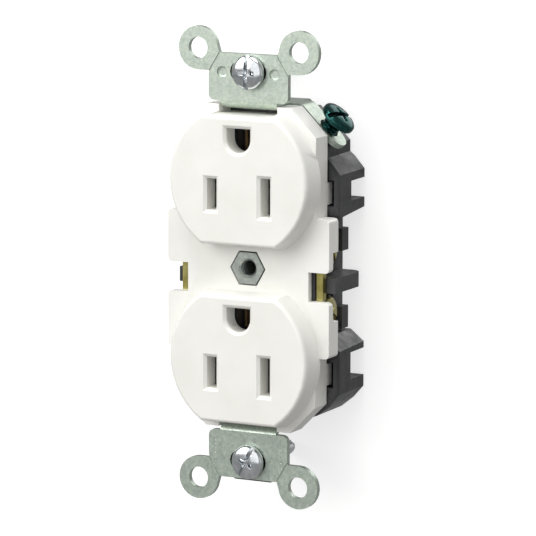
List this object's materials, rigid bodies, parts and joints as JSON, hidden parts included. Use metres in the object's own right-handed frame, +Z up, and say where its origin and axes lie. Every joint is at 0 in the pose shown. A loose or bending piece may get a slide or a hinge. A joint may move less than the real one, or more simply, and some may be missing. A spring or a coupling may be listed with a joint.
{
  "type": "duplex wall outlet",
  "caption": "Grounded duplex wall outlet with side terminal screws, ground screw, wrap-around mounting strap and plaster ears.",
  "frame": {"origin": "on the wall-plate screw's axis, in the plane of the ears' back faces, which lie on the wall", "axes": "+Z up along the strap, +Y into the wall box, +X to the right seen from the front"},
  "size_m": [0.0392, 0.0237, 0.1018],
  "materials": {
    "white_moulded": "satin",
    "black_moulded": "satin",
    "zinc_steel": "zinc plated, satin",
    "brass_strip": "satin",
    "brass_screw": "bright",
    "nickel_screw": "nickel plated",
    "green_screw": "dyed green plating, glossy",
    "bright_screw": "bright zinc",
    "black_fibre": "matte",
    "steel_insert": "satin"
  },
  "bodies": {
    "frame": {"face_cover": "white_moulded", "back_body": "black_moulded", "mounting_strap": "zinc_steel", "assembly_insert": "steel_insert", "hot_contact_strip": "brass_strip", "neutral_contact_strip": "brass_strip", "ground_contact_upper": "brass_strip", "ground_contact_lower": "brass_strip", "ground_rivet_upper": "steel_insert", "ground_rivet_lower": "steel_insert"},
    "clamp_plate_hot_upper": {"clamp_plate_hot_upper": "zinc_steel"},
    "terminal_screw_hot_upper": {"terminal_screw_hot_upper": "nickel_screw"},
    "clamp_plate_hot_lower": {"clamp_plate_hot_lower": "zinc_steel"},
    "terminal_screw_hot_lower": {"terminal_screw_hot_lower": "nickel_screw"},
    "clamp_plate_neutral_upper": {"clamp_plate_neutral_upper": "zinc_steel"},
    "terminal_screw_neutral_upper": {"terminal_screw_neutral_upper": "brass_screw"},
    "clamp_plate_neutral_lower": {"clamp_plate_neutral_lower": "zinc_steel"},
    "terminal_screw_neutral_lower": {"terminal_screw_neutral_lower": "brass_screw"},
    "ground_screw": {"ground_screw": "green_screw"},
    "screw_retainer_upper": {"screw_retainer_upper": "black_fibre"},
    "mounting_screw_upper": {"mounting_screw_upper": "bright_screw"},
    "screw_retainer_lower": {"screw_retainer_lower": "black_fibre"},
    "mounting_screw_lower": {"mounting_screw_lower": "bright_screw"}
  },
  "joints": [
    {"name": "clamp_slide_hot_upper", "type": "slide", "parent": "frame", "child": "clamp_plate_hot_upper", "axis": [-1, 0, 0], "range_m": [0, 0.00238]},
    {"name": "screw_turn_hot_upper", "type": "hinge", "parent": "clamp_plate_hot_upper", "child": "terminal_screw_hot_upper", "pos_m": [-0.0138, 0.00755, 0.00389], "axis": [-1, 0, 0], "range_deg": [0, 1080]},
    {"name": "clamp_slide_hot_lower", "type": "slide", "parent": "frame", "child": "clamp_plate_hot_lower", "axis": [-1, 0, 0], "range_m": [0, 0.00238]},
    {"name": "screw_turn_hot_lower", "type": "hinge", "parent": "clamp_plate_hot_lower", "child": "terminal_screw_hot_lower", "pos_m": [-0.0138, 0.00755, -0.01011], "axis": [-1, 0, 0], "range_deg": [0, 1080]},
    {"name": "clamp_slide_neutral_upper", "type": "slide", "parent": "frame", "child": "clamp_plate_neutral_upper", "axis": [1, 0, 0], "range_m": [0, 0.00238]},
    {"name": "screw_turn_neutral_upper", "type": "hinge", "parent": "clamp_plate_neutral_upper", "child": "terminal_screw_neutral_upper", "pos_m": [0.0138, 0.00755, 0.00389], "axis": [1, 0, 0], "range_deg": [0, 1080]},
    {"name": "clamp_slide_neutral_lower", "type": "slide", "parent": "frame", "child": "clamp_plate_neutral_lower", "axis": [1, 0, 0], "range_m": [0, 0.00238]},
    {"name": "screw_turn_neutral_lower", "type": "hinge", "parent": "clamp_plate_neutral_lower", "child": "terminal_screw_neutral_lower", "pos_m": [0.0138, 0.00755, -0.01011], "axis": [1, 0, 0], "range_deg": [0, 1080]},
    {"name": "ground_screw_turn", "type": "hinge", "parent": "frame", "child": "ground_screw", "pos_m": [0.01652, 0.0074, 0.03157], "axis": [0.7071, 0, 0.7071], "range_deg": [-1080, 360]},
    {"name": "mounting_slide_upper", "type": "slide", "parent": "frame", "child": "screw_retainer_upper", "axis": [1, 0, 0], "range_m": [-0.0028, 0.002]},
    {"name": "mounting_screw_turn_upper", "type": "hinge", "parent": "screw_retainer_upper", "child": "mounting_screw_upper", "pos_m": [0.0004, -0.00155, 0.04167], "axis": [0, -1, 0], "continuous": true},
    {"name": "mounting_slide_lower", "type": "slide", "parent": "frame", "child": "screw_retainer_lower", "axis": [1, 0, 0], "range_m": [-0.0028, 0.002]},
    {"name": "mounting_screw_turn_lower", "type": "hinge", "parent": "screw_retainer_lower", "child": "mounting_screw_lower", "pos_m": [0.0004, -0.00155, -0.04167], "axis": [0, -1, 0], "continuous": true}
  ],
  "couplings": [
    {"joint": "screw_turn_hot_upper", "follows": "clamp_slide_hot_upper", "rad_per_m": 7915.8},
    {"joint": "screw_turn_hot_lower", "follows": "clamp_slide_hot_lower", "rad_per_m": 7915.8},
    {"joint": "screw_turn_neutral_upper", "follows": "clamp_slide_neutral_upper", "rad_per_m": 7915.8},
    {"joint": "screw_turn_neutral_lower", "follows": "clamp_slide_neutral_lower", "rad_per_m": 7915.8}
  ]
}
